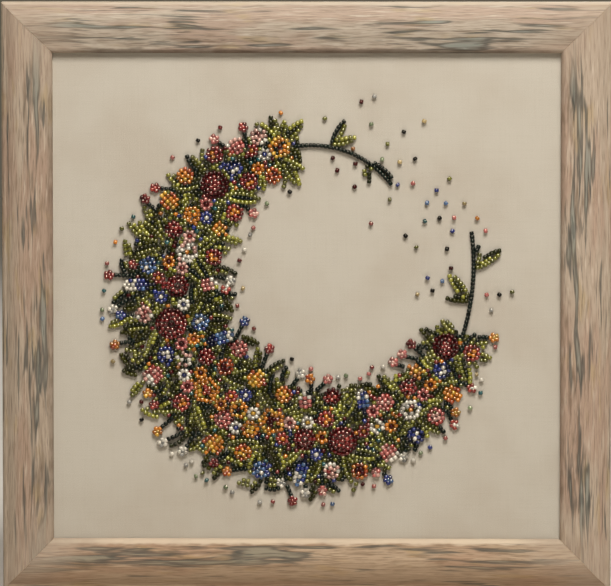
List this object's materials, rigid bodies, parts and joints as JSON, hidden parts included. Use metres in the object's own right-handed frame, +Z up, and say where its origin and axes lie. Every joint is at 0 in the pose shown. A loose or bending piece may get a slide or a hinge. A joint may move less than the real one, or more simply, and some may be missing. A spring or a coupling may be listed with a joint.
{
  "type": "framed beaded embroidery",
  "caption": "Square wall picture: a crescent garland of flowers and leaves embroidered in glass beads on plain cloth, in a domed whitewashed wooden frame.",
  "frame": {"origin": "the middle of the top rail's flat back, where the frame lies against the wall", "axes": "+Z up, +Y into the wall, so the beads face -Y, and +X to the viewer's right"},
  "size_m": [0.3, 0.0165, 0.29],
  "materials": {
    "whitewashed_wood": "satin, whitewashed with streaks of grey, green and brown along the grain",
    "canvas_cloth": "matt plain weave, stretched flat",
    "fibreboard": "matt, smooth brown board",
    "steel": "dull pressed strip",
    "brassed_steel": "thin brass wash on pressed strip",
    "bead_red": "glossy opaque glass",
    "bead_golden": "glossy opaque glass",
    "bead_pink": "glossy opaque glass",
    "bead_blue": "glossy opaque glass",
    "bead_white": "glossy opaque glass",
    "bead_leaf": "glossy opaque glass in light and dark greens",
    "bead_stem": "glossy opaque glass, very dark teal"
  },
  "bodies": {
    "root": {"backing_board": "fibreboard", "blue_spike_1": "bead_blue", "blue_spike_2": "bead_blue", "blue_spike_3": "bead_blue", "blue_spike_4": "bead_blue", "bottom_rail": "whitewashed_wood", "canvas": "canvas_cloth", "golden_blossom_1": "bead_golden", "golden_blossom_2": "bead_golden", "golden_blossom_3": "bead_golden", "golden_blossom_4": "bead_golden", "golden_blossom_5": "bead_golden", "hanger_nail_left": "brassed_steel", "hanger_nail_right": "brassed_steel", "leaf_bed_1": "bead_leaf", "leaf_bed_2": "bead_leaf", "leaf_bed_3": "bead_leaf", "leaf_bed_4": "bead_leaf", "leaf_bed_5": "bead_leaf", "leaf_bed_6": "bead_leaf", "leaf_bed_7": "bead_leaf", "leaf_bed_8": "bead_leaf", "leaf_bed_9": "bead_leaf", "leaf_spray_1": "bead_leaf", "leaf_spray_2": "bead_leaf", "leaf_spray_3": "bead_leaf", "leaf_spray_4": "bead_leaf", "left_rail": "whitewashed_wood", "orange_tulip_1": "bead_golden", "orange_tulip_2": "bead_golden", "orange_tulip_3": "bead_golden", "orange_tulip_4": "bead_golden", "orange_tulip_5": "bead_golden", "orange_tulip_6": "bead_golden", "pink_bell_1": "bead_pink", "pink_bell_2": "bead_pink", "pink_bell_3": "bead_pink", "pink_bell_4": "bead_pink", "pink_bell_5": "bead_pink", "red_rosette_1": "bead_red", "red_rosette_2": "bead_red", "red_rosette_3": "bead_red", "red_rosette_4": "bead_red", "red_rosette_5": "bead_red", "red_rosette_6": "bead_red", "right_rail": "whitewashed_wood", "sawtooth_hanger": "brassed_steel", "steel_point_1": "steel", "steel_point_2": "steel", "steel_point_3": "steel", "steel_point_4": "steel", "steel_point_5": "steel", "steel_point_6": "steel", "stem_1": "bead_stem", "stem_2": "bead_stem", "top_rail": "whitewashed_wood", "white_daisy_1": "bead_white", "white_daisy_2": "bead_white", "white_daisy_3": "bead_white", "white_daisy_4": "bead_white"}
  },
  "joints": []
}
